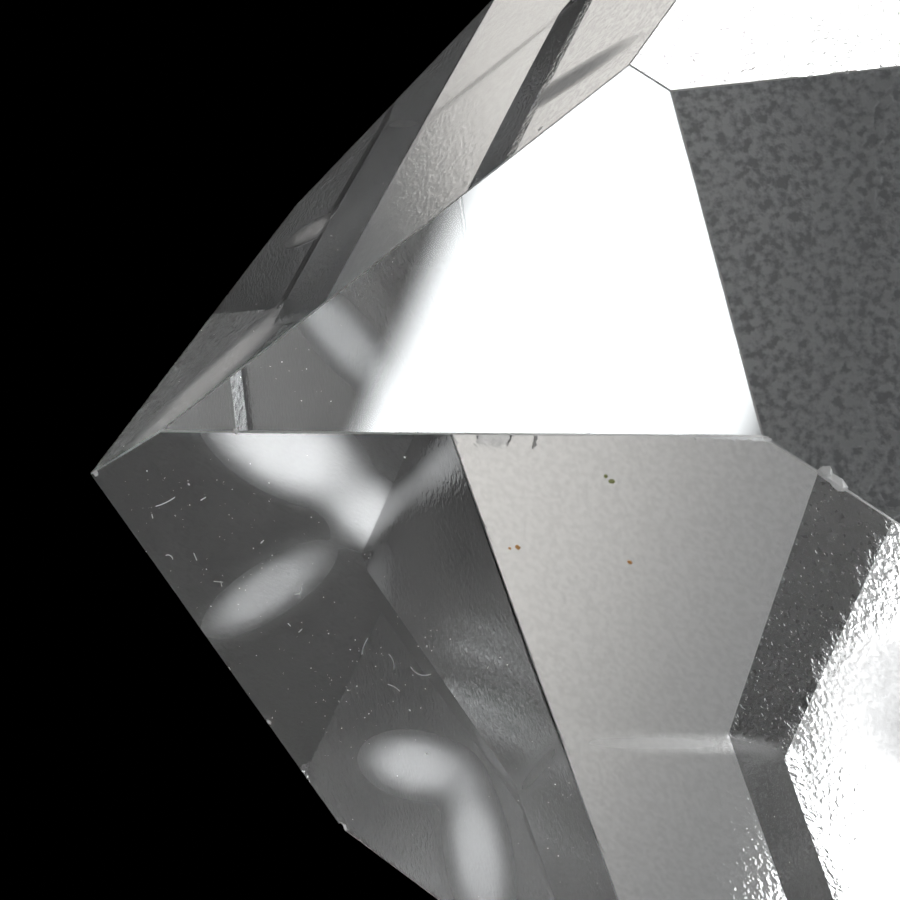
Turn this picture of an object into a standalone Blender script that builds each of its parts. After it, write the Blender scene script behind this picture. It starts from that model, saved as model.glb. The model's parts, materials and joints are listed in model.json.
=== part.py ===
# A polished quartz point: one crystal that stands on its sawn base, tip up.
# Six end faces are ground flat and polished, and meet in the tip. The prism
# faces below them are frosted, as grown: six wide ones, and a narrow one that
# takes off a corner. Every second wide face carries a ladder of shallow growth
# ledges, and one of these has a tall growth step near its upper end. The
# crystal's long axis is +Z.

import math
import random

import bmesh
import bpy
from mathutils import Matrix, Vector

MM = 0.001

# Driving dimensions, in millimetres
HEIGHT = 90.0  # from the sawn base to the tip
ROUGH_WIDTH = 90.0  # the block that the faces are ground from
ROUGH_SPARE = 10.0  # how far that block stands past the base and the tip

# End faces. Each row gives the way the face looks in plan and the angle between
# its normal and +Z, in degrees, then how far its plane is set back from the tip.
# The three r faces meet at the tip, and the smaller z faces lie between them.
END_FACES = {
    "r_0": (4.3, 52.7, 0.0),
    "r_120": (125.1, 51.5, 0.0),
    "r_240": (239.9, 45.6, 0.0),
    "z_60": (58.5, 47.8, 1.07),
    "z_180": (180.3, 50.7, 4.6),
    "z_300": (299.9, 51.4, 5.55),
}

# Prism faces: the same two angles, then the distance from the tip to the face's plane
PRISM_FACES = {
    "m_0": (0.6, 90.2, 18.2),
    "m_60": (64.6, 88.4, 16.65),
    "narrow": (95.9, 88.5, 16.25),
    "m_120": (120.8, 89.8, 14.8),
    "m_180": (179.3, 89.8, 26.0),
    "m_240": (240.5, 90.0, 23.7),
    "m_300": (300.5, 89.7, 19.8),
}

# The growth step on m_240. Above it the face lies further in, as two flats that meet
# in a low crease. Each row: the two angles and the distance as above, then how far
# the step's edge falls for each unit that it runs left across the face.
STEP_FLATS = {
    "right_flat": (240.5, 90.0, 22.8, 0.0),
    "left_flat": (238.5, 90.0, 22.9, 0.6),
}
STEP_HEIGHT = 59.8  # of the step's upper edge, where it meets the crease
STEP_CREASE = -2.8  # place of the crease across the face
STEP_TALL = 3.4  # height that the step's slope takes
STEP_DEEP = 1.2  # and its depth
STEP_BLOCK = 120.0  # size of the cutters, wider and taller than the face

# Growth ladders, on every second prism face: the heights between which each runs.
# A ladder that ends under the base runs out through it.
LADDERS = {
    "m_0": (60.0, -3.0),
    "m_120": (57.0, -3.0),
    "m_240": (30.5, -3.0),
}
LADDER_SEED = {"m_0": 3, "m_120": 12, "m_240": 24}
LADDER_WIDTH = 60.0  # wider than any face
LADDER_OUTSIDE = 4.0  # how far a ladder's cutter stands out of the face
TREAD = (0.9, 3.2)  # height of one ledge
LEDGE_DEPTH = (0.08, 0.5)  # how far a ledge lies under the face's own plane
RISER_SLOPE = 1.3  # height that a riser takes for each unit of depth

# Short ledges that cross only a part of a face: the face, the height of the middle,
# how far it lies to the side, then its length across the face, height and depth
SHORT_LEDGES = [
    ("m_60", 47.0, -4.5, 11.0, 1.5, 0.18),
    ("m_60", 39.5, 5.5, 10.0, 2.2, 0.22),
    ("m_60", 26.0, -3.5, 13.0, 1.8, 0.20),
    ("m_60", 12.0, 4.5, 10.0, 2.4, 0.24),
    ("m_180", 55.0, -3.0, 10.0, 1.5, 0.18),
    ("m_180", 44.5, -6.5, 10.0, 2.0, 0.22),
    ("m_180", 31.5, -4.0, 10.0, 1.5, 0.18),
    ("m_180", 15.0, 2.0, 14.0, 2.4, 0.24),
    ("m_300", 54.0, 3.0, 10.0, 1.8, 0.20),
    ("m_300", 40.5, -4.0, 11.0, 2.0, 0.22),
    ("m_300", 24.0, 2.5, 13.0, 1.6, 0.18),
    ("m_300", 9.0, -3.0, 10.0, 2.0, 0.22),
]
SHORT_LEDGE_CORNERS = 12

QUARTZ_COLOUR = (0.93, 0.94, 0.95, 1.0)
QUARTZ_ROUGHNESS = 0.05
QUARTZ_IOR = 1.55


def clear_scene():
    """Removes every object, so that the model starts from nothing."""
    for old in list(bpy.data.objects):
        bpy.data.objects.remove(old, do_unlink=True)


def new_collection(name):
    """A collection of that name, linked to the scene."""
    collection = bpy.data.collections.new(name)
    bpy.context.scene.collection.children.link(collection)
    return collection


def face_frame(azimuth, inclination, distance):
    """Matrix of a face: its X runs level across the face, Y up it and Z out of it."""
    tilt = Matrix.Rotation(math.radians(inclination), 3, "Y")
    turn = Matrix.Rotation(math.radians(azimuth), 3, "Z")
    outward = turn @ tilt @ Vector((0.0, 0.0, 1.0))
    across = Vector((0.0, 0.0, 1.0)).cross(outward).normalized()
    up_face = outward.cross(across)
    frame = Matrix((across, up_face, outward)).transposed().to_4x4()
    frame.translation = Vector((0.0, 0.0, HEIGHT)) + outward * distance
    return frame


def rough_block(bm):
    """The block that the crystal is cut from, as tall as the crystal and more."""
    tall = HEIGHT + 2.0 * ROUGH_SPARE
    size = Matrix.Diagonal((ROUGH_WIDTH, ROUGH_WIDTH, tall, 1.0))
    middle = Matrix.Translation((0.0, 0.0, HEIGHT / 2.0))
    bmesh.ops.create_cube(bm, size=1.0, matrix=middle @ size)


def grind_flat(bm, point, outward):
    """Takes off all that lies past a plane, and closes the cut with one flat face."""
    everything = bm.verts[:] + bm.edges[:] + bm.faces[:]
    cut = bmesh.ops.bisect_plane(
        bm, geom=everything, plane_co=point, plane_no=outward, clear_outer=True
    )
    rim = [part for part in cut["geom_cut"] if isinstance(part, bmesh.types.BMEdge)]
    bmesh.ops.edgeloop_fill(bm, edges=rim)


def crystal_body(bm):
    """The plain crystal: its base, its prism faces and its end faces."""
    rough_block(bm)
    grind_flat(bm, Vector((0.0, 0.0, 0.0)), Vector((0.0, 0.0, -1.0)))
    for row in list(PRISM_FACES.values()) + list(END_FACES.values()):
        frame = face_frame(*row)
        grind_flat(bm, frame.translation, frame.col[2].xyz)


def ladder_steps(top, bottom, seed):
    """Stepped outline of a ladder, from the top down: (height, depth) pairs."""
    rng = random.Random(seed)
    steps = []
    height, depth = top, rng.uniform(*LEDGE_DEPTH)
    while height > bottom:
        steps.append((height, depth))
        height -= rng.uniform(*TREAD)
        steps.append((height, depth))
        previous, depth = depth, rng.uniform(*LEDGE_DEPTH)
        height -= RISER_SLOPE * abs(depth - previous)
    return steps


def cutter_object(name, bm, frame, collection):
    """Turns a drawn cutter into an object that lies on its face and isn't rendered."""
    bmesh.ops.recalc_face_normals(bm, faces=bm.faces[:])
    bmesh.ops.transform(bm, matrix=frame, verts=bm.verts[:])
    bmesh.ops.scale(bm, vec=(MM, MM, MM), verts=bm.verts[:])
    mesh = bpy.data.meshes.new(name)
    bm.to_mesh(mesh)
    bm.free()
    cutter = bpy.data.objects.new(name, mesh)
    collection.objects.link(cutter)
    cutter.hide_render = True
    cutter.display_type = "WIRE"
    return cutter


def step_cutter(name, collection):
    """The waste that lies outside one flat of the growth step, and above its slope."""
    azimuth, inclination, distance, fall = STEP_FLATS[name]
    bm = bmesh.new()
    bmesh.ops.create_cube(bm, size=STEP_BLOCK)
    grind_flat(bm, Vector((0.0, 0.0, 0.0)), Vector((0.0, 0.0, -1.0)))
    edge = Vector((1.0, fall, 0.0))
    slope = Vector((0.0, -STEP_TALL, STEP_DEEP))
    corner = Vector((STEP_CREASE, STEP_HEIGHT - HEIGHT, 0.0))
    grind_flat(bm, corner, edge.cross(slope).normalized())
    frame = face_frame(azimuth, inclination, distance)
    return cutter_object(name, bm, frame, collection)


def ladder_cutter(name, collection):
    """The waste outside a ladder's steps, extruded right across the face."""
    top, bottom = LADDERS[name]
    steps = ladder_steps(top - HEIGHT, bottom - HEIGHT, LADDER_SEED[name])
    outline = [(steps[0][0] + LADDER_OUTSIDE * RISER_SLOPE, -LADDER_OUTSIDE)]
    outline += steps
    outline += [(steps[-1][0], -LADDER_OUTSIDE)]
    bm = bmesh.new()
    left = -LADDER_WIDTH / 2.0
    corners = [bm.verts.new((left, height, -depth)) for height, depth in outline]
    side = bm.faces.new(corners)
    grown = bmesh.ops.extrude_face_region(bm, geom=[side])
    far_side = [part for part in grown["geom"] if isinstance(part, bmesh.types.BMVert)]
    bmesh.ops.translate(bm, vec=(LADDER_WIDTH, 0.0, 0.0), verts=far_side)
    frame = face_frame(*PRISM_FACES[name])
    return cutter_object(name + "_ladder", bm, frame, collection)


def short_ledge_cutter(index, spec, collection):
    """A flat lens-shaped cutter: it leaves one short ledge, pointed at both ends."""
    name, height, aside, length, tall, depth = spec
    place = Matrix.Translation((aside, height - HEIGHT, LADDER_OUTSIDE / 2.0 - depth))
    shape = Matrix.Diagonal((length / 2.0, tall / 2.0, 1.0, 1.0))
    bm = bmesh.new()
    bmesh.ops.create_cone(
        bm,
        cap_ends=True,
        segments=SHORT_LEDGE_CORNERS,
        radius1=1.0 - depth,
        radius2=1.0 + LADDER_OUTSIDE,
        depth=LADDER_OUTSIDE,
        matrix=place @ shape,
    )
    frame = face_frame(*PRISM_FACES[name])
    return cutter_object(f"{name}_ledge_{index}", bm, frame, collection)


def quartz_material():
    """Clear quartz: see-through, with a faint cool tint."""
    material = bpy.data.materials.new("clear_quartz")
    material.use_nodes = True
    shader = material.node_tree.nodes["Principled BSDF"]
    shader.inputs["Base Color"].default_value = QUARTZ_COLOUR
    shader.inputs["Roughness"].default_value = QUARTZ_ROUGHNESS
    shader.inputs["Metallic"].default_value = 0.0
    shader.inputs["IOR"].default_value = QUARTZ_IOR
    shader.inputs["Transmission Weight"].default_value = 1.0
    return material


def cut_with(target, cutter):
    """Takes the cutter out of the target with a Boolean that stays live."""
    cut = target.modifiers.new(cutter.name, "BOOLEAN")
    cut.operation = "DIFFERENCE"
    cut.solver = "EXACT"
    cut.object = cutter


def centre_on_base(pieces, crystal):
    """Moves everything so that the origin is the middle of the crystal's box, at its base."""
    corners = [vertex.co for vertex in crystal.data.vertices]
    middle_x = (min(c.x for c in corners) + max(c.x for c in corners)) / 2.0
    middle_y = (min(c.y for c in corners) + max(c.y for c in corners)) / 2.0
    shift = Matrix.Translation((-middle_x, -middle_y, 0.0))
    for piece in pieces:
        piece.data.transform(shift)


def main():
    clear_scene()
    part = new_collection("quartz_point")
    tools = new_collection("cutters")

    bm = bmesh.new()
    crystal_body(bm)
    bmesh.ops.scale(bm, vec=(MM, MM, MM), verts=bm.verts[:])
    mesh = bpy.data.meshes.new("quartz_point")
    bm.to_mesh(mesh)
    bm.free()
    mesh.materials.append(quartz_material())
    crystal = bpy.data.objects.new("quartz_point", mesh)
    part.objects.link(crystal)

    cutters = [step_cutter(name, tools) for name in STEP_FLATS]
    cutters += [ladder_cutter(name, tools) for name in LADDERS]
    for index, spec in enumerate(SHORT_LEDGES):
        cutters.append(short_ledge_cutter(index, spec, tools))
    centre_on_base([crystal] + cutters, crystal)
    for cutter in cutters:
        cut_with(crystal, cutter)


main()
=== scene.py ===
# Looks of the polished quartz point. The crystal is built again here from the same
# planes as the solid that it replaces, with growth ledges, a growth step, frosting,
# worn edges and small chips. Dust and lint lie on its end faces, and it stands on a
# pale floor under soft studio light.

import json
import math
import random

import bmesh
import bpy
import numpy as np
from mathutils import Euler, Matrix, Vector, noise

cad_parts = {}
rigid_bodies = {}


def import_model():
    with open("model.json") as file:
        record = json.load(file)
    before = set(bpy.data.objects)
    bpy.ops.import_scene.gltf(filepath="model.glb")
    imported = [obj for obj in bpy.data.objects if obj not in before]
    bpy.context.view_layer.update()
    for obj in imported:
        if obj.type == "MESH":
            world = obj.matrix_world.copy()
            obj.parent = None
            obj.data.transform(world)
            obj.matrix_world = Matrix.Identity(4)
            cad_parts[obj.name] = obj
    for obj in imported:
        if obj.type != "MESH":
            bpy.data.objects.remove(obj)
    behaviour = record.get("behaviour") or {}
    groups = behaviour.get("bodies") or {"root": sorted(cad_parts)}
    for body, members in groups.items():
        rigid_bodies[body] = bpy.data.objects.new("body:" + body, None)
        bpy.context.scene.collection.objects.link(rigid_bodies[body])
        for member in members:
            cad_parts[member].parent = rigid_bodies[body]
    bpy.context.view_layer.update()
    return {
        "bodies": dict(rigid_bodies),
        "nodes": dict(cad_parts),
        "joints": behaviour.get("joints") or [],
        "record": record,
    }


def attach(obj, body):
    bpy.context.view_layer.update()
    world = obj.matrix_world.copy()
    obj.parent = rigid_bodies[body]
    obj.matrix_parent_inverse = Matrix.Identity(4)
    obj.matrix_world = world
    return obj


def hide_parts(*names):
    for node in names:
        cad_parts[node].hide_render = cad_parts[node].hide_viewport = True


MM = 0.001

# Camera. The photograph is a close view of the tip, with the crystal's long axis
# lying across the image and the tip on the left.
LENS = 182.12  # millimetres, for a sensor 36 mm wide
CAMERA_FROM_TIP = (91.984, 101.537, -1.843)  # millimetres
CAMERA_RIGHT = (0.1153, -0.01612, -0.9932)
CAMERA_UP = (-0.73502, 0.67118, -0.09622)
CAMERA_BACK = (0.66817, 0.74112, 0.06554)
CAMERA_CLIP = (0.01, 10.0)  # metres
IMAGE_SIZE = 900
FOCAL_PIXELS = 4553.0

# The crystal's planes, in millimetres and degrees, as in the solid: the way a face
# looks in plan, the angle between its normal and +Z, and its distance from the tip.
HEIGHT = 90.0
END_FACES = {
    "r_0": (4.3, 52.7, 0.0),
    "r_120": (125.1, 51.5, 0.0),
    "r_240": (239.9, 45.6, 0.0),
    "z_60": (58.5, 47.8, 1.07),
    "z_180": (180.3, 50.7, 4.6),
    "z_300": (299.9, 51.4, 5.55),
}
PRISM_FACES = {
    "m_0": (0.6, 90.2, 18.2),
    "m_60": (64.6, 88.4, 16.65),
    "narrow": (95.9, 88.5, 16.25),
    "m_120": (120.8, 89.8, 14.8),
    "m_180": (179.3, 89.8, 26.0),
    "m_240": (240.5, 90.0, 23.7),
    "m_300": (300.5, 89.7, 19.8),
}
BASE = (0.0, 180.0, HEIGHT)
FACE_NAMES = list(END_FACES) + list(PRISM_FACES) + ["base"]
BLOCK_WIDTH = 90.0  # of the block that the crystal is cut from
BLOCK_SPARE = 10.0  # how far the block stands past the crystal at each end

# The growth step on m_240, in millimetres as in the solid. Its slope leads from the
# face down to two flats: the angles and distance of each, and how fast the step's
# edge climbs across it.
STEP_FACE = "m_240"
STEP_FLATS = {
    "right_flat": (240.5, 90.0, 22.8, 0.0),
    "left_flat": (238.5, 90.0, 22.9, 0.6),
}
STEP_HEIGHT = 59.8  # of its edge, at the crease
STEP_CREASE = -2.8  # where the two flats meet, across the face
STEP_TALL = 3.4  # height of the slope
STEP_DEEP = 1.2  # and its depth
STEP_BEND = -3.5  # where the step's slope bends, across its face
STEP_CUT = (-20.0, 0.0)  # two places across the face that its falling edges pass

# Growth ladders, in millimetres as in the solid: the heights between which each runs
LADDERS = {
    "m_0": (60.0, -3.0),
    "m_120": (57.0, -3.0),
    "m_240": (30.5, -3.0),
}
LADDER_SEED = {"m_0": 3, "m_120": 12, "m_240": 24}
TREAD = (0.9, 3.2)  # height of one ledge
LEDGE_DEPTH = (0.08, 0.5)  # how far a ledge lies under its face's plane
RISER_SLOPE = 1.3  # height that a riser takes for each unit of depth

# Short ledges, as in the solid: the face, the height of the middle, how far it lies to
# the side, then its length across the face, height and depth
SHORT_LEDGES = [
    ("m_60", 47.0, -4.5, 11.0, 1.5, 0.18),
    ("m_60", 39.5, 5.5, 10.0, 2.2, 0.22),
    ("m_60", 26.0, -3.5, 13.0, 1.8, 0.20),
    ("m_60", 12.0, 4.5, 10.0, 2.4, 0.24),
    ("m_180", 55.0, -3.0, 10.0, 1.5, 0.18),
    ("m_180", 44.5, -6.5, 10.0, 2.0, 0.22),
    ("m_180", 31.5, -4.0, 10.0, 1.5, 0.18),
    ("m_180", 15.0, 2.0, 14.0, 2.4, 0.24),
    ("m_300", 54.0, 3.0, 10.0, 1.8, 0.20),
    ("m_300", 40.5, -4.0, 11.0, 2.0, 0.22),
    ("m_300", 24.0, 2.5, 13.0, 1.6, 0.18),
    ("m_300", 9.0, -3.0, 10.0, 2.0, 0.22),
]
SHORT_LEDGE_RIM = 1.6  # how steeply its floor rises to the rim

# Mesh of the frosted faces, in millimetres
GRID_UP = 0.6  # tallest cell
GRID_ACROSS = 0.7  # cell width
GRID_TOP = 78.0  # above the top of every prism face
GRID_REACH = 30.0  # half the width that the slices cover
SHARP_ANGLE = 8.0  # degrees, from which an edge inside a face is sharp

# Relief of the frosted faces, in millimetres
ROLL_DEPTH = 0.05  # broad shallow hollows
ROLL_SIZE = (5.0, 2.2)  # their size across and up the face
GRAIN_DEPTH = 0.03  # fine hollows
GRAIN_SIZE = (1.6, 0.9)
GRAIN_SHIFT = 9.5  # keeps the fine hollows apart from the broad ones in the noise
SMOOTH_SHARE = 0.05  # share of the relief that is left where a face is clear

# How frosted each prism face is, from 0 for clear to 1
FACE_FROST = {
    "m_0": 0.3,
    "m_60": 0.45,
    "narrow": 0.13,
    "m_120": 0.3,
    "m_180": 0.08,
    "m_240": 0.12,
    "m_300": 0.25,
}
STEP_FROST = 0.06  # above the growth step, and on its slope
STEP_CLEAR = 0.1  # depth from which a place belongs to the step

# Patches on the prism faces that are more frosted than the rest, first those below the
# growth step and then those above it: the face, the middle across it and up it, half the
# width and length, how far the patch leans across for each unit up the face, and how
# frosted it is
FROST_PATCHES = [
    ("m_240", -10.5, 46.0, 2.1, 11.0, 0.46, 0.9),
    ("m_240", -4.6, 50.0, 5.2, 6.5, 0.0, 0.9),
    ("m_240", -13.6, 60.8, 2.2, 3.8, 0.0, 0.9),
    ("m_180", 7.0, 57.2, 4.8, 5.8, 0.0, 1.0),
    ("m_180", 8.4, 45.0, 1.8, 10.5, 0.24, 0.6),
    ("m_180", 11.2, 55.2, 3.0, 4.4, 0.0, 0.9),
    ("m_300", -12.0, 58.5, 6.0, 4.0, 0.0, 1.0),
    ("m_240", 4.2, 56.0, 1.2, 6.0, -0.15, 0.8),
]
STEP_PATCHES = [
    ("m_240", -2.9, 63.0, 0.8, 9.0, 0.1, 0.35),
]
PATCH_FADE = 0.8  # share of a patch's reach over which it fades out
PATCH_DEPTH = 3.0  # millimetres

# Worn edges, in millimetres
EDGE_WEAR = 0.05  # widest bevel
WEAR_LEAST = 0.3  # share of it that every edge has
WEAR_GRAIN = 0.9  # how fast the wear changes along an edge
EDGE_PIECE = 0.7  # length of one piece of an edge
WORN_FACES = list(END_FACES) + ["m_60"]  # faces whose edges are worn

# Chips: the small ones lie along the edges at random, and the rest are seen in the
# photograph at these pixels, each with its radius
CHIP_SEED = 11
CHIP_COUNT = 90
CHIP_RADIUS = (0.05, 0.16)
CHIP_SQUASH = (0.7, 1.3)
CHIP_LIFT = 0.55  # how far its middle lies out of the crystal, in radii
CHIP_ROUGHEN = 0.18  # how uneven its surface is, in radii
CHIP_RARITY = 2  # power that makes the larger chips rare
SEEN_CHIPS = [
    (834, 482, 0.50),
    (826, 470, 0.28),
    (768, 438, 0.18),
    (96, 474, 0.12),
    (224, 296, 0.14),
    (344, 826, 0.20),
    (269, 722, 0.10),
    (229, 668, 0.08),
    (541, 128, 0.14),
]

# Dust and lint on the end faces, placed by the photograph's pixels. A fibre runs from
# one pixel to another and is bent to one side by so many pixels.
LINT = [
    (156, 506, 175, 497, -1),
    (201, 500, 206, 497, 0),
    (152, 514, 153, 518, 0),
    (214, 581, 223, 582, 0),
    (221, 581, 222, 586, 0),
    (166, 555, 173, 559, 2),
    (194, 553, 197, 560, 0),
    (295, 594, 302, 587, -3),
    (296, 593, 301, 598, 2),
    (288, 623, 291, 626, 0),
    (299, 632, 302, 629, 0),
    (362, 654, 368, 638, 1),
    (389, 654, 394, 669, 2),
    (411, 667, 431, 674, -4),
    (388, 684, 400, 691, 1),
    (261, 543, 264, 540, 0),
]
LINT_RADIUS = 0.012  # millimetres
LINT_PIECES = 8  # rings along one fibre

# Specks: the middle of a cloud in pixels, its spread, how many, and their largest size
SPECK_CLOUDS = [
    (230, 560, 60, 90, 0.022),
    (380, 680, 50, 90, 0.022),
    (300, 700, 60, 60, 0.018),
    (560, 830, 50, 45, 0.020),
    (770, 870, 30, 12, 0.020),
    (300, 370, 60, 40, 0.018),
    (380, 230, 40, 25, 0.018),
    (165, 500, 25, 30, 0.022),
]
BIG_SPECKS = [
    (189, 484, 0.05),
    (427, 646, 0.045),
    (410, 710, 0.045),
    (427, 753, 0.04),
    (357, 686, 0.03),
    (348, 690, 0.03),
    (405, 457, 0.04),
    (262, 542, 0.035),
]
GREEN_FLECKS = [(612, 481, 0.13), (606, 476, 0.08)]
AMBER_FLECKS = [(630, 562, 0.09), (518, 547, 0.10), (510, 548, 0.06)]
SPECK_SEED = 8
SPECK_SMALLEST = 0.3  # share of the largest size
SPECK_RARITY = 3  # power that makes the larger specks rare
SPECK_WIDTH = (0.5, 1.0)  # share of its length
SPECK_THICKNESS = 0.4  # share of its length
LINT_COLOUR = (0.85, 0.84, 0.82)
GREEN_COLOUR = (0.42, 0.44, 0.20)
AMBER_COLOUR = (0.80, 0.42, 0.16)
DUST_ROUGHNESS = 1.0
DUST_SHADE = 0.7  # share of its brightness that the dust's darker parts have

# Looks of the quartz
QUARTZ_IOR = 1.55
CLEAR_COLOUR = (0.985, 0.99, 0.995, 1.0)
FROST_COLOUR = (0.93, 0.94, 0.95, 1.0)
PAINTED_PIT_SHADE = (0.20, 0.20, 0.21, 1.0)  # painted shade, speckled over the pits where the quartz is fully frosted
SAWN_COLOUR = (0.86, 0.87, 0.88, 1.0)
WORN_COLOUR = (0.95, 0.94, 0.92, 1.0)
POLISHED_ROUGHNESS = 0.0
FROST_ROUGHNESS = (0.03, 0.85)  # of clear and of fully frosted natural faces
SAWN_ROUGHNESS = 0.6
WORN_ROUGHNESS = 0.35
WORN_TRANSMISSION = 0.75
CHIP_COLOUR = (0.97, 0.96, 0.95, 1.0)
CHIP_ROUGHNESS = 0.6
CHIP_TRANSMISSION = 0.3

# Fine pits of the natural faces, and the painted shade speckled over them
PIT_SIZE = 0.24  # millimetres
PIT_DETAIL = 2.0
PIT_DEPTH = 0.05  # millimetres, where a face is fully frosted
EVEN_PITS = 0.5  # share of that depth on sawn, worn and broken surfaces
PIT_MILKY = 0.4  # how much light the pits scatter straight back
PAINTED_PIT_SHADE_RATE = 1.9  # how fast the painted shade in the pits deepens as the frost grows
PIT_SPREAD = (0.38, 0.63)  # the noise's values that count as smooth and as pitted

# Studio lights, all round or oval. Each row gives the place and what it faces, in
# millimetres from the tip, then the width and height, the radiance, its colour, and the
# kinds of ray that see it. The low ones stand in for the pale surroundings that the
# crystal shows inside.
NEUTRAL = (1.0, 1.0, 1.0)
WARM = (1.0, 0.965, 0.93)
COOL = (0.93, 0.97, 1.0)
LIGHTS = {
    "key": ((150, 150, 520), (0, 0, -90), (500, 500), 1.7, COOL, ("diffuse",)),
    "front_fill": ((150, 100, 150), (0, 0, -30), (80, 80), 6.0, NEUTRAL, ("diffuse",)),
    "side": ((-255, 174, -50), (0, 14, -26), (90, 90), 23.0, NEUTRAL, ("glossy",)),
    "floor_near": ((-38, -8, -78), (-38, -8, -90), (26, 36), 6.5, COOL, ("diffuse",)),
    "floor_far": ((-160, -30, -72), (-160, -30, -90), (90, 90), 0.95, WARM, ("diffuse",)),
    "floor_front": ((0, -60, -86), (0, -60, -90), (60, 46), 1.5, WARM, ("diffuse",)),
    "low_near": ((-60, -27, -82), (0, -27, -82), (50, 30), 4.0, NEUTRAL, ("transmission",)),
    "low_side": ((-34, 5, -66), (0, 5, -66), (30, 36), 0.9, NEUTRAL, ("transmission",)),
    "low_front": ((15, -26, -62), (0, 0, -62), (30, 36), 0.6, WARM, ("transmission",)),
}

# The softbox overhead, in millimetres from the tip. Its light fades towards its rim,
# and camera rays don't see it.
OVERHEAD_PLACE = (-18.0, 105.0, 300.0)
OVERHEAD_SIZE = (60.0, 40.0)
OVERHEAD_RADIANCE = 22.0
OVERHEAD_COLOUR = (0.95, 0.985, 1.0, 1.0)
OVERHEAD_TURN = -60.0  # degrees
OVERHEAD_FADE = 0.13  # share of its width

# Floor and surroundings
FLOOR_RADIUS = 800.0  # millimetres
FLOOR_SIDES = 96
FLOOR_COLOUR = (0.78, 0.77, 0.75, 1.0)
FLOOR_ROUGHNESS = 0.9
WORLD_COLOUR = (0.0, 0.0, 0.0, 1.0)


def face_row(name):
    """The two angles and the distance of a face."""
    return {**END_FACES, **PRISM_FACES, "base": BASE}[name]


def face_frame(azimuth, inclination, distance):
    """Matrix of a face: its X runs level across the face, Y up it and Z out of it."""
    tilt = Matrix.Rotation(math.radians(inclination), 3, "Y")
    turn = Matrix.Rotation(math.radians(azimuth), 3, "Z")
    outward = turn @ tilt @ Vector((0.0, 0.0, 1.0))
    across = Vector((0.0, 0.0, 1.0)).cross(outward).normalized()
    up_face = outward.cross(across)
    frame = Matrix((across, up_face, outward)).transposed().to_4x4()
    frame.translation = Vector((0.0, 0.0, HEIGHT)) + outward * distance
    return frame


def grind_flat(bm, point, outward):
    """Takes off all that lies past a plane, and closes the cut with one flat face."""
    everything = bm.verts[:] + bm.edges[:] + bm.faces[:]
    cut = bmesh.ops.bisect_plane(
        bm, geom=everything, plane_co=point, plane_no=outward, clear_outer=True
    )
    rim = [part for part in cut["geom_cut"] if isinstance(part, bmesh.types.BMEdge)]
    bmesh.ops.edgeloop_fill(bm, edges=rim)


def crystal_body():
    """The plain crystal in millimetres."""
    bm = bmesh.new()
    tall = HEIGHT + 2.0 * BLOCK_SPARE
    size = Matrix.Diagonal((BLOCK_WIDTH, BLOCK_WIDTH, tall, 1.0))
    middle = Matrix.Translation((0.0, 0.0, HEIGHT / 2.0))
    bmesh.ops.create_cube(bm, size=1.0, matrix=middle @ size)
    for name in ["base"] + list(PRISM_FACES) + list(END_FACES):
        frame = face_frame(*face_row(name))
        grind_flat(bm, frame.translation, frame.col[2].xyz)
    return bm


def ladder_steps(top, bottom, seed):
    """Stepped outline of a ladder, from the top down: (height, depth) pairs."""
    rng = random.Random(seed)
    steps = []
    height, depth = top, rng.uniform(*LEDGE_DEPTH)
    while height > bottom:
        steps.append((height, depth))
        height -= rng.uniform(*TREAD)
        steps.append((height, depth))
        previous, depth = depth, rng.uniform(*LEDGE_DEPTH)
        height -= RISER_SLOPE * abs(depth - previous)
    return steps


def ladder_profile(name):
    """Heights, rising, and depths of a ladder's outline, from the plain face down."""
    top, bottom = LADDERS[name]
    steps = ladder_steps(top - HEIGHT, bottom - HEIGHT, LADDER_SEED[name])
    steps = [(height + HEIGHT, depth) for height, depth in steps]
    first_height, first_depth = steps[0]
    steps.insert(0, (first_height + RISER_SLOPE * first_depth, 0.0))
    steps.reverse()
    return np.array([s[0] for s in steps]), np.array([s[1] for s in steps])


FRAMES = {name: face_frame(*face_row(name)) for name in FACE_NAMES}
PLACES = {name: frame.inverted() for name, frame in FRAMES.items()}
NORMALS = {name: frame.col[2].xyz for name, frame in FRAMES.items()}
LADDER_PROFILES = {name: ladder_profile(name) for name in LADDERS}
STEP_PLACES = [(face_frame(*row[:3]).inverted(), row[3]) for row in STEP_FLATS.values()]


def grid_heights(name):
    """Heights at which a prism face is sliced: its ledges' corners and fill between."""
    marks = [0.0, GRID_TOP]
    if name in LADDERS:
        marks += [h for h in LADDER_PROFILES[name][0] if 0.0 < h < GRID_TOP]
    if name == STEP_FACE:
        marks += [STEP_HEIGHT, STEP_HEIGHT - STEP_TALL]
    marks.sort()
    heights = []
    for low, high in zip(marks, marks[1:]):
        count = max(1, math.ceil((high - low) / GRID_UP))
        heights += [low + (high - low) * i / count for i in range(count)]
    return heights[1:]


def step_line(flat, share, across):
    """Height of the growth step's edge on its face: share 0 is the upper edge, 1 the lower."""
    azimuth, inclination, distance, fall = STEP_FLATS[flat]
    frame = face_frame(azimuth, inclination, distance)
    local = frame.inverted() @ (FRAMES[STEP_FACE] @ Vector((across, 0.0, 0.0)))
    edge = STEP_HEIGHT + fall * (local.x - STEP_CREASE)
    return edge - share * local.z * STEP_TALL / STEP_DEEP


def step_cuts():
    """Planes square to the step's face through its crease and its falling edges."""
    frame = FRAMES[STEP_FACE]
    across = frame.col[0].xyz
    cuts = [(frame @ Vector((STEP_BEND, 0.0, 0.0)), across)]
    for share in (0.0, 1.0):
        ends = [Vector((x, step_line("left_flat", share, x) - HEIGHT, 0.0)) for x in STEP_CUT]
        along = (frame.to_3x3() @ (ends[1] - ends[0])).normalized()
        cuts.append((frame @ ends[0], frame.col[2].xyz.cross(along)))
    return cuts


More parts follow.
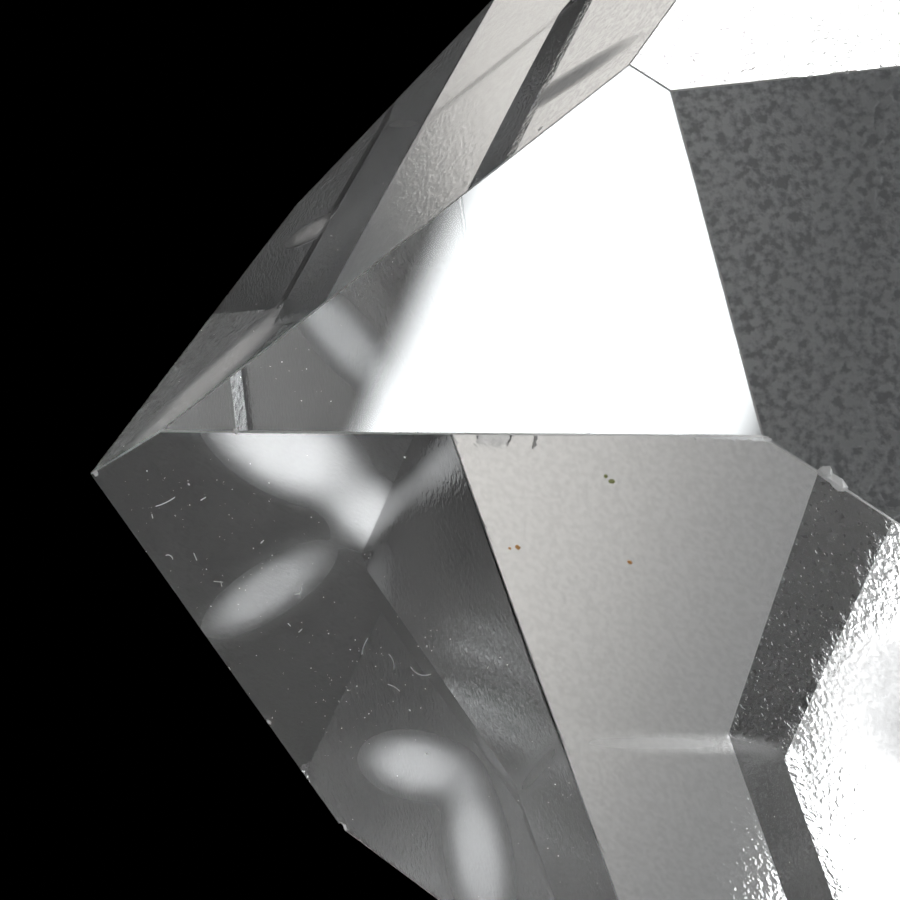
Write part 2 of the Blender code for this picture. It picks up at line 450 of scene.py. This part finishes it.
def slice_face(bm, tags, name):
    """Cuts one prism face into a grid, without moving anything."""
    frame = FRAMES[name]
    across, up_face = frame.col[0].xyz, frame.col[1].xyz
    tag = FACE_NAMES.index(name)
    faces = [face for face in bm.faces if face[tags] == tag]
    edges = list({edge for face in faces for edge in face.edges})
    verts = list({vert for face in faces for vert in face.verts})
    geom = faces + edges + verts
    cuts = [(frame.translation + up_face * (h - HEIGHT), up_face) for h in grid_heights(name)]
    count = int(2.0 * GRID_REACH / GRID_ACROSS)
    for i in range(count):
        cuts.append((frame.translation + across * (i * GRID_ACROSS - GRID_REACH), across))
    if name == STEP_FACE:
        cuts += step_cuts()
    for point, normal in cuts:
        result = bmesh.ops.bisect_plane(bm, geom=geom, plane_co=point, plane_no=normal)
        geom = result["geom"]


def step_depth(across, height):
    """Depth of the growth step under its face, at one point of the face."""
    deepest = 0.0
    point = FRAMES[STEP_FACE] @ Vector((across, height - HEIGHT, 0.0))
    for to_flat, fall in STEP_PLACES:
        local = to_flat @ point
        edge = STEP_HEIGHT + fall * (local.x - STEP_CREASE)
        below = max(0.0, edge - height) * STEP_DEEP / STEP_TALL
        deepest = max(deepest, local.z - below)
    return deepest


def short_ledge_depth(name, across, height):
    """Depth of the short ledges on a face, each a shallow lens with a flat floor."""
    depth = 0.0
    for face, middle, aside, length, tall, deep in SHORT_LEDGES:
        if face == name:
            reach = math.hypot((across - aside) / length, (height - middle) / tall) * 2.0
            share = min(1.0, max(0.0, SHORT_LEDGE_RIM - SHORT_LEDGE_RIM * reach))
            depth = max(depth, deep * share)
    return depth


def patch_frame(row):
    """Matrix of a frosted patch: its X runs across it, Y along it and Z out of its face."""
    name, across, height, _half_width, _half_length, lean, _amount = row
    middle = Matrix.Translation((across, height - HEIGHT, 0.0))
    return FRAMES[name] @ middle @ Matrix.Rotation(-math.atan(lean), 4, "Z")


PATCH_PLACES = [(row, patch_frame(row).inverted()) for row in FROST_PATCHES]


def face_frost(name, across, height):
    """How frosted one point of a prism face is, from 0 for clear to 1."""
    if name == STEP_FACE and step_depth(across, height) > STEP_CLEAR:
        return STEP_FROST
    frost = FACE_FROST[name]
    point = FRAMES[name] @ Vector((across, height - HEIGHT, 0.0))
    for row, to_patch in PATCH_PLACES:
        face, _across, _height, half_width, half_length, _lean, amount = row
        if face == name:
            local = to_patch @ point
            reach = math.hypot(local.x / half_width, local.y / half_length)
            share = min(1.0, max(0.0, (1.0 - reach) / PATCH_FADE))
            frost += (amount - frost) * share * share * (3.0 - 2.0 * share)
    return frost


def frost_depth(across, height, seed):
    """Depth of the natural face's broad and fine hollows."""
    roll = Vector((across / ROLL_SIZE[0], height / ROLL_SIZE[1], seed))
    grain = Vector((across / GRAIN_SIZE[0], height / GRAIN_SIZE[1], seed + GRAIN_SHIFT))
    rolls = ROLL_DEPTH * (0.5 + 0.5 * noise.noise(roll))
    grains = GRAIN_DEPTH * (0.5 + 0.5 * noise.noise(grain))
    return rolls + grains


def face_depth(name, across, height):
    """How far one point of a prism face lies under the face's plane, in millimetres."""
    depth = frost_depth(across, height, float(FACE_NAMES.index(name)))
    depth *= SMOOTH_SHARE + (1.0 - SMOOTH_SHARE) * face_frost(name, across, height)
    if name in LADDERS:
        depth += float(np.interp(height, *LADDER_PROFILES[name]))
    if name == STEP_FACE:
        depth = max(depth, step_depth(across, height))
    return depth + short_ledge_depth(name, across, height)


def place_on(name, point):
    """Where a point lies on a prism face: across it, and its height."""
    local = PLACES[name] @ point
    return local.x, local.y + HEIGHT


def faces_near(point, reach):
    """Names of the crystal's faces whose planes pass within reach of a point."""
    return [name for name in FACE_NAMES if abs((PLACES[name] @ point).z) < reach]


def split_edge(edge, pieces):
    """Splits an edge into equal pieces."""
    vert = edge.verts[0]
    for left in range(pieces, 1, -1):
        vert = bmesh.utils.edge_split(edge, vert, 1.0 / left)[1]


def wear_edges(bm):
    """Splits the edges above the base into pieces, and keeps how worn each one is."""
    wear = bm.edges.layers.float.new("bevel_weight_edge")
    for edge in list(bm.edges):
        split_edge(edge, max(1, round(edge.calc_length() / EDGE_PIECE)))
    for edge in bm.edges:
        middle = (edge.verts[0].co + edge.verts[1].co) / 2.0
        names = faces_near(middle, EDGE_WEAR)
        if "base" not in names and set(names).intersection(WORN_FACES):
            share = 0.5 + 0.5 * noise.noise(middle * WEAR_GRAIN)
            edge[wear] = WEAR_LEAST + (1.0 - WEAR_LEAST) * share


def seen_place(u, v):
    """Where the camera's ray through a pixel meets the crystal, or None if it passes by."""
    eye = Vector((0.0, 0.0, HEIGHT)) + Vector(CAMERA_FROM_TIP)
    half = IMAGE_SIZE / 2.0
    ray = Vector(CAMERA_RIGHT) * (u - half) + Vector(CAMERA_UP) * (half - v)
    ray -= Vector(CAMERA_BACK) * FOCAL_PIXELS
    reaches = []
    for name, outward in NORMALS.items():
        if ray.dot(outward) < 0.0:
            reaches.append((FRAMES[name].translation - eye).dot(outward) / ray.dot(outward))
    point = eye + ray * max(reaches)
    outside = max((PLACES[name] @ point).z for name in FACE_NAMES)
    return point if outside < LINT_RADIUS else None


def add_chip(bm, point, radius, rng):
    """Adds one lopsided ball that bites a little off the crystal at a point."""
    outward = Vector()
    for name in faces_near(point, radius):
        outward += NORMALS[name]
    middle = point + outward.normalized() * radius * CHIP_LIFT
    turn = Euler([rng.uniform(0.0, math.tau) for _ in range(3)]).to_matrix().to_4x4()
    size = Matrix.Diagonal([radius * rng.uniform(*CHIP_SQUASH) for _ in range(3)]).to_4x4()
    matrix = Matrix.Translation(middle) @ turn @ size
    ball = bmesh.ops.create_icosphere(bm, subdivisions=2, radius=1.0, matrix=matrix)
    for vert in ball["verts"]:
        vert.co += (vert.co - middle) * rng.uniform(-CHIP_ROUGHEN, CHIP_ROUGHEN)


def chip_tool(body):
    """The balls that bite the chips off the body's edges."""
    rng = random.Random(CHIP_SEED)
    edges = [(e.verts[0].co.copy(), e.verts[1].co.copy()) for e in body.edges]
    edges = [(a, b) for a, b in edges if max(a.z, b.z) > EDGE_WEAR]
    lengths = [(b - a).length for a, b in edges]
    bm = bmesh.new()
    for a, b in rng.choices(edges, weights=lengths, k=CHIP_COUNT):
        share = rng.random() ** CHIP_RARITY
        radius = CHIP_RADIUS[0] + (CHIP_RADIUS[1] - CHIP_RADIUS[0]) * share
        add_chip(bm, a.lerp(b, rng.random()), radius, rng)
    for u, v, radius in SEEN_CHIPS:
        point = seen_place(u, v)
        if point:
            add_chip(bm, point, radius, rng)
    return bm


def new_object(name, bm, materials):
    """Turns a bmesh into an object of the scene with these materials."""
    mesh = bpy.data.meshes.new(name)
    bm.to_mesh(mesh)
    bm.free()
    for material in materials:
        mesh.materials.append(material)
    item = bpy.data.objects.new(name, mesh)
    bpy.context.scene.collection.objects.link(item)
    return item


def worn_body(finishes):
    """The crystal's body with worn and chipped edges, as a bmesh."""
    slots = list(finishes)
    plain = crystal_body()
    chips = chip_tool(plain)
    for face in chips.faces:
        face.material_index = slots.index("chipped")
    wear_edges(plain)
    tool = new_object("chip_tool", chips, finishes.values())
    body = new_object("plain_body", plain, finishes.values())
    wear = body.modifiers.new("wear", "BEVEL")
    wear.limit_method = "WEIGHT"
    wear.width = EDGE_WEAR
    wear.segments = 1
    wear.material = slots.index("worn")
    wear.use_clamp_overlap = False
    bite = body.modifiers.new("chips", "BOOLEAN")
    bite.operation = "DIFFERENCE"
    bite.solver = "EXACT"
    bite.use_self = True
    bite.material_mode = "INDEX"
    bite.object = tool
    worn = bmesh.new()
    worn.from_object(body, bpy.context.evaluated_depsgraph_get())
    for item in (body, tool):
        mesh = item.data
        bpy.data.objects.remove(item)
        bpy.data.meshes.remove(mesh)
    return worn


def tag_faces(bm, slots):
    """Tags each face with its place in FACE_NAMES, and the worn and chipped ones with -1."""
    tags = bm.faces.layers.int.new("plane")
    for face in bm.faces:
        if face.material_index in (slots.index("worn"), slots.index("chipped")):
            face[tags] = -1
        else:
            name = max(FACE_NAMES, key=lambda n: NORMALS[n].dot(face.normal))
            face[tags] = FACE_NAMES.index(name)
    return tags


def set_finishes(bm, tags, slots):
    """Gives each tagged face its material, and keeps how frosted it is."""
    frost = bm.faces.layers.float.new("frost")
    for face in bm.faces:
        if face[tags] < 0:
            continue
        name = FACE_NAMES[face[tags]]
        finish = "sawn" if name == "base" else "polished"
        if name in PRISM_FACES:
            finish = "natural"
            face[frost] = FACE_FROST[name]
            place = place_on(name, face.calc_center_median())
            if name == STEP_FACE and step_depth(*place) > STEP_CLEAR:
                finish = "step"
                face[frost] = STEP_FROST
        face.material_index = slots.index(finish)


def planes_at(vert, tags):
    """Names of the crystal's faces that a corner of the mesh has to keep to."""
    tagged = {face[tags] for face in vert.link_faces}
    names = {FACE_NAMES[tag] for tag in tagged if tag >= 0}
    if -1 in tagged and len(tagged) > 1:
        names.update(faces_near(vert.co, 2.0 * EDGE_WEAR))
    return sorted(names)


def press_relief(bm, tags):
    """Moves the corners of the prism faces in by their depth, and keeps flat faces flat."""
    moves = []
    for vert in bm.verts:
        names = planes_at(vert, tags)
        natural = [name for name in names if name in PRISM_FACES]
        if not natural:
            continue
        rows = [NORMALS[name] for name in names]
        shifts = [-face_depth(n, *place_on(n, vert.co)) if n in natural else 0.0 for n in names]
        if len(names) == 1:
            moves.append((vert, rows[0] * shifts[0]))
        else:
            move = np.linalg.lstsq(np.array(rows), np.array(shifts), rcond=None)[0]
            moves.append((vert, Vector(move)))
    for vert, move in moves:
        vert.co += move


def mark_sharp_edges(bm, tags):
    """Edges between two faces of the crystal are sharp, and so are ledges inside a face."""
    bm.normal_update()
    limit = math.radians(SHARP_ANGLE)
    for edge in bm.edges:
        inside = len({face[tags] for face in edge.link_faces}) == 1
        edge.smooth = inside and edge.calc_face_angle(0.0) < limit
    for face in bm.faces:
        face.smooth = face[tags] >= 0 and FACE_NAMES[face[tags]] in PRISM_FACES


def build_crystal(finishes, shift):
    """The visual crystal, moved from the origin to the solid's place."""
    slots = list(finishes)
    bm = worn_body(finishes)
    tags = tag_faces(bm, slots)
    for name in PRISM_FACES:
        slice_face(bm, tags, name)
    set_finishes(bm, tags, slots)
    press_relief(bm, tags)
    mark_sharp_edges(bm, tags)
    bmesh.ops.scale(bm, vec=(MM, MM, MM), verts=bm.verts[:])
    bmesh.ops.translate(bm, vec=shift, verts=bm.verts[:])
    return new_object("crystal", bm, finishes.values())


def surface_at(u, v):
    """A pixel's place on the crystal, lifted a hair off it, and the way the face looks."""
    point = seen_place(u, v)
    if point is None:
        return None, None
    name = min(FACE_NAMES, key=lambda n: abs((PLACES[n] @ point).z))
    return point + NORMALS[name] * LINT_RADIUS, NORMALS[name]


def add_fibre(bm, start, end, bend):
    """A thin tube along the crystal's surface from one pixel to another."""
    across = Vector((end[1] - start[1], start[0] - end[0])).normalized()
    rings = []
    for i in range(LINT_PIECES + 1):
        share = i / LINT_PIECES
        # 4 makes the bow reach the bend itself half way along
        bow = 4.0 * bend * share * (1.0 - share)
        u = start[0] + (end[0] - start[0]) * share + across.x * bow
        v = start[1] + (end[1] - start[1]) * share + across.y * bow
        rings.append(surface_at(u, v))
    along = (rings[-1][0] - rings[0][0]).normalized()
    previous = None
    for point, outward in rings:
        side = along.cross(outward).normalized() * LINT_RADIUS
        lift = outward * LINT_RADIUS
        ring = [bm.verts.new(point + offset) for offset in (side, lift, -side, -lift)]
        if previous:
            for i in range(4):
                j = (i + 1) % 4
                bm.faces.new((previous[i], previous[j], ring[j], ring[i]))
        else:
            bm.faces.new(ring[::-1])
        previous = ring
    bm.faces.new(previous)


def add_speck(bm, u, v, radius, rng, slot):
    """A flattened grain that lies on the crystal's surface, where the pixel shows it."""
    point, outward = surface_at(u, v)
    if point is None:
        return
    turn = outward.to_track_quat("Z", "Y").to_matrix().to_4x4()
    spin = Matrix.Rotation(rng.uniform(0.0, math.tau), 4, "Z")
    width = radius * rng.uniform(*SPECK_WIDTH)
    size = Matrix.Diagonal((radius, width, radius * SPECK_THICKNESS, 1.0))
    matrix = Matrix.Translation(point) @ turn @ spin @ size
    made = bmesh.ops.create_icosphere(bm, subdivisions=1, radius=1.0, matrix=matrix)
    for face in {face for vert in made["verts"] for face in vert.link_faces}:
        face.material_index = slot


def build_dust(materials, shift):
    """The dust and lint on the end faces, as one piece."""
    rng = random.Random(SPECK_SEED)
    bm = bmesh.new()
    for u0, v0, u1, v1, bend in LINT:
        add_fibre(bm, (u0, v0), (u1, v1), bend)
    for u, v, spread, count, largest in SPECK_CLOUDS:
        for _ in range(count):
            share = rng.random() ** SPECK_RARITY
            size = largest * (SPECK_SMALLEST + (1.0 - SPECK_SMALLEST) * share)
            place = (rng.gauss(u, spread), rng.gauss(v, spread))
            add_speck(bm, *place, size, rng, 0)
    for slot, rows in enumerate((BIG_SPECKS, GREEN_FLECKS, AMBER_FLECKS)):
        for u, v, size in rows:
            add_speck(bm, u, v, size, rng, slot)
    bmesh.ops.scale(bm, vec=(MM, MM, MM), verts=bm.verts[:])
    bmesh.ops.translate(bm, vec=shift, verts=bm.verts[:])
    return new_object("dust", bm, materials)


def new_material(name):
    """A material with its node tree and its shader."""
    material = bpy.data.materials.new(name)
    material.use_nodes = True
    tree = material.node_tree
    return material, tree, tree.nodes["Principled BSDF"]


def add_node(tree, kind, inputs=None, **settings):
    """Adds a node with these settings. An input is a plain value, or a socket to link."""
    node = tree.nodes.new(kind)
    for name, value in settings.items():
        setattr(node, name, value)
    for name, value in (inputs or {}).items():
        if isinstance(value, bpy.types.NodeSocket):
            tree.links.new(value, node.inputs[name])
        else:
            node.inputs[name].default_value = value
    return node


def set_quartz(shader, colour, roughness, transmission=1.0):
    """Plain see-through quartz."""
    shader.inputs["Base Color"].default_value = colour
    shader.inputs["Roughness"].default_value = roughness
    shader.inputs["IOR"].default_value = QUARTZ_IOR
    shader.inputs["Transmission Weight"].default_value = transmission


def polished_material():
    """Ground and polished end faces: clear."""
    material, _tree, shader = new_material("polished_quartz")
    set_quartz(shader, CLEAR_COLOUR, POLISHED_ROUGHNESS)
    return material


def patched_frost(tree, coordinates, patches, shift):
    """The mesh's own frost with the patches laid over it, as a socket."""
    frost = add_node(tree, "ShaderNodeAttribute", attribute_name="frost").outputs["Fac"]
    for row in patches:
        _face, _across, _height, half_width, half_length, _lean, amount = row
        frame = patch_frame(row)
        inputs = {
            "Vector": coordinates,
            "Location": frame.translation * MM + shift,
            "Rotation": frame.to_euler(),
            "Scale": Vector((half_width, half_length, PATCH_DEPTH)) * MM,
        }
        place = add_node(tree, "ShaderNodeMapping", inputs, vector_type="TEXTURE")
        inputs = {0: place.outputs["Vector"]}
        reach = add_node(tree, "ShaderNodeVectorMath", inputs, operation="LENGTH")
        inputs = {
            "Value": reach.outputs["Value"],
            "From Min": 1.0,
            "From Max": 1.0 - PATCH_FADE,
        }
        share = add_node(tree, "ShaderNodeMapRange", inputs, interpolation_type="SMOOTHSTEP")
        inputs = {"Factor": share.outputs["Result"], "A": frost, "B": amount}
        frost = add_node(tree, "ShaderNodeMix", inputs).outputs["Result"]
    return frost


def mixed_colour(tree, share, first, second):
    """A colour between two, as a socket."""
    mix = add_node(tree, "ShaderNodeMix", {"Factor": share}, data_type="RGBA")
    mix.inputs[6].default_value = first
    mix.inputs[7].default_value = second
    return mix.outputs[2]


def pit_noise(tree, coordinates):
    """Fine noise of the size of the pits, as a socket."""
    inputs = {"Vector": coordinates, "Scale": 1.0 / (PIT_SIZE * MM), "Detail": PIT_DETAIL}
    return add_node(tree, "ShaderNodeTexNoise", inputs).outputs["Fac"]


def natural_material(name, patches, shift):
    """Natural prism faces: clear to frosted, with fine pits where they are frosted, and painted
    shade speckled over the pits.
    """
    material, tree, shader = new_material(name)
    set_quartz(shader, FROST_COLOUR, FROST_ROUGHNESS[1])
    coordinates = add_node(tree, "ShaderNodeTexCoord").outputs["Object"]
    frost = patched_frost(tree, coordinates, patches, shift)
    even = add_node(tree, "ShaderNodeAttribute", attribute_name="frost").outputs["Fac"]
    pits = pit_noise(tree, coordinates)
    inputs = {"Value": pits, "From Min": PIT_SPREAD[0], "From Max": PIT_SPREAD[1]}
    pitted = add_node(tree, "ShaderNodeMapRange", inputs).outputs["Result"]
    inputs = {0: pitted, 1: even}
    height = add_node(tree, "ShaderNodeMath", inputs, operation="MULTIPLY").outputs["Value"]
    # Painted shade: where the frosted faces are pitted, the base colour darkens towards the pits'
    # painted shade colour.
    inputs = {"Value": height, "To Max": PAINTED_PIT_SHADE_RATE}
    painted_shade = add_node(tree, "ShaderNodeMapRange", inputs).outputs["Result"]
    colour = mixed_colour(tree, painted_shade, FROST_COLOUR, PAINTED_PIT_SHADE)
    tree.links.new(colour, shader.inputs["Base Color"])
    inputs = {"Height": height, "Distance": PIT_DEPTH * MM}
    bump = add_node(tree, "ShaderNodeBump", inputs)
    tree.links.new(bump.outputs["Normal"], shader.inputs["Normal"])
    inputs = {"Value": frost, "To Min": FROST_ROUGHNESS[0], "To Max": FROST_ROUGHNESS[1]}
    roughness = add_node(tree, "ShaderNodeMapRange", inputs)
    tree.links.new(roughness.outputs["Result"], shader.inputs["Roughness"])
    inputs = {"Value": height, "To Min": 1.0, "To Max": 1.0 - PIT_MILKY}
    clearness = add_node(tree, "ShaderNodeMapRange", inputs)
    tree.links.new(clearness.outputs["Result"], shader.inputs["Transmission Weight"])
    return material


def even_material(name, colour, roughness, transmission):
    """A ground or broken surface of quartz, even all over, with a fine grain."""
    material, tree, shader = new_material(name)
    set_quartz(shader, colour, roughness, transmission)
    coordinates = add_node(tree, "ShaderNodeTexCoord").outputs["Object"]
    inputs = {"Height": pit_noise(tree, coordinates), "Distance": PIT_DEPTH * MM * EVEN_PITS}
    bump = add_node(tree, "ShaderNodeBump", inputs)
    tree.links.new(bump.outputs["Normal"], shader.inputs["Normal"])
    return material


def quartz_finishes(shift):
    """Every finish of the crystal, by name."""
    return {
        "polished": polished_material(),
        "natural": natural_material("natural_quartz", FROST_PATCHES, shift),
        "step": natural_material("step_quartz", STEP_PATCHES, shift),
        "sawn": even_material("sawn_quartz", SAWN_COLOUR, SAWN_ROUGHNESS, 1.0),
        "worn": even_material("worn_quartz", WORN_COLOUR, WORN_ROUGHNESS, WORN_TRANSMISSION),
        "chipped": even_material("chipped_quartz", CHIP_COLOUR, CHIP_ROUGHNESS, CHIP_TRANSMISSION),
    }


def dust_material(name, colour):
    """Dull dust or lint, a little uneven in colour."""
    material, tree, shader = new_material(name)
    shader.inputs["Roughness"].default_value = DUST_ROUGHNESS
    coordinates = add_node(tree, "ShaderNodeTexCoord").outputs["Object"]
    inputs = {"Vector": coordinates, "Scale": 1.0 / (PIT_SIZE * MM)}
    patchy = add_node(tree, "ShaderNodeTexNoise", inputs).outputs["Fac"]
    darker = [DUST_SHADE * value for value in colour] + [1.0]
    uneven = mixed_colour(tree, patchy, darker, list(colour) + [1.0])
    tree.links.new(uneven, shader.inputs["Base Color"])
    return material


def node_tip(node):
    """The solid's highest point."""
    return max((vertex.co for vertex in node.data.vertices), key=lambda co: co.z).copy()


def add_camera(tip):
    """The camera at the photograph's place and angle."""
    data = bpy.data.cameras.new("camera")
    data.lens = LENS
    data.clip_start, data.clip_end = CAMERA_CLIP
    camera = bpy.data.objects.new("camera", data)
    bpy.context.scene.collection.objects.link(camera)
    axes = Matrix((CAMERA_RIGHT, CAMERA_UP, CAMERA_BACK)).transposed()
    place = axes.to_4x4()
    place.translation = tip + Vector(CAMERA_FROM_TIP) * MM
    camera.matrix_world = place
    bpy.context.scene.camera = camera


def add_floor():
    """A plain pale round floor under the crystal."""
    bm = bmesh.new()
    bmesh.ops.create_circle(bm, cap_ends=True, segments=FLOOR_SIDES, radius=FLOOR_RADIUS * MM)
    material, _tree, shader = new_material("floor")
    shader.inputs["Base Color"].default_value = FLOOR_COLOUR
    shader.inputs["Roughness"].default_value = FLOOR_ROUGHNESS
    new_object("floor", bm, [material])


def facing(place, target):
    """Matrix of something at a place that faces a target along its -Z."""
    back = (place - target).normalized()
    matrix = back.to_track_quat("Z", "Y").to_matrix().to_4x4()
    matrix.translation = place
    return matrix


def show_only_to(item, rays):
    """Lets only these kinds of ray see a light; the camera never does."""
    item.visible_camera = False
    item.visible_diffuse = "diffuse" in rays
    item.visible_glossy = "glossy" in rays
    item.visible_transmission = "transmission" in rays


def add_lights(tip):
    """The studio's plain lights, from the rows of LIGHTS."""
    for name, (place, target, size, radiance, colour, rays) in LIGHTS.items():
        data = bpy.data.lights.new(name, "AREA")
        data.shape = "ELLIPSE"
        data.size = size[0] * MM
        data.size_y = size[1] * MM
        data.color = colour
        data.energy = radiance * math.pi * data.size * data.size_y * math.pi / 4.0
        light = bpy.data.objects.new(name, data)
        bpy.context.scene.collection.objects.link(light)
        light.matrix_world = facing(tip + Vector(place) * MM, tip + Vector(target) * MM)
        show_only_to(light, rays)


def add_overhead(tip):
    """The softbox overhead, a lit panel that faces down."""
    bm = bmesh.new()
    bmesh.ops.create_grid(bm, x_segments=1, y_segments=1, size=0.5)
    panel = new_object("overhead_softbox", bm, [softbox_material()])
    size = Matrix.Diagonal((OVERHEAD_SIZE[0] * MM, OVERHEAD_SIZE[1] * MM, 1.0, 1.0))
    turn = Matrix.Rotation(math.radians(OVERHEAD_TURN), 4, "Z")
    panel.matrix_world = Matrix.Translation(tip + Vector(OVERHEAD_PLACE) * MM) @ turn @ size
    show_only_to(panel, ("diffuse", "glossy"))


def softbox_material():
    """Even light that falls off towards the panel's rim."""
    material = bpy.data.materials.new("softbox")
    material.use_nodes = True
    tree = material.node_tree
    tree.nodes.clear()
    coordinates = add_node(tree, "ShaderNodeTexCoord").outputs["Object"]
    split = add_node(tree, "ShaderNodeSeparateXYZ", {"Vector": coordinates})
    strength = OVERHEAD_RADIANCE
    for axis in ("X", "Y"):
        inputs = {0: split.outputs[axis]}
        distance = add_node(tree, "ShaderNodeMath", inputs, operation="ABSOLUTE")
        inputs = {
            "Value": distance.outputs["Value"],
            "From Min": 0.5,
            "From Max": 0.5 - OVERHEAD_FADE,
        }
        share = add_node(tree, "ShaderNodeMapRange", inputs, interpolation_type="SMOOTHSTEP")
        inputs = {0: share.outputs["Result"], 1: strength}
        product = add_node(tree, "ShaderNodeMath", inputs, operation="MULTIPLY")
        strength = product.outputs["Value"]
    inputs = {"Color": OVERHEAD_COLOUR, "Strength": strength}
    emission = add_node(tree, "ShaderNodeEmission", inputs)
    add_node(tree, "ShaderNodeOutputMaterial", {"Surface": emission.outputs["Emission"]})
    return material


def dark_world():
    """No light from around the studio."""
    world = bpy.data.worlds.new("studio")
    bpy.context.scene.world = world
    world.use_nodes = True
    world.node_tree.nodes["Background"].inputs["Color"].default_value = WORLD_COLOUR


def main():
    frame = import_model()
    tip = node_tip(frame["nodes"]["quartz_point"])
    shift = tip - Vector((0.0, 0.0, HEIGHT * MM))
    crystal = build_crystal(quartz_finishes(shift), shift)
    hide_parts("quartz_point")
    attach(crystal, "root")
    lint = dust_material("lint", LINT_COLOUR)
    green = dust_material("green_fleck", GREEN_COLOUR)
    amber = dust_material("amber_fleck", AMBER_COLOUR)
    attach(build_dust([lint, green, amber], shift), "root")
    add_camera(tip)
    add_floor()
    add_lights(tip)
    add_overhead(tip)
    dark_world()
    bpy.context.scene.view_settings.view_transform = "Standard"
    bpy.context.view_layer.update()


main()
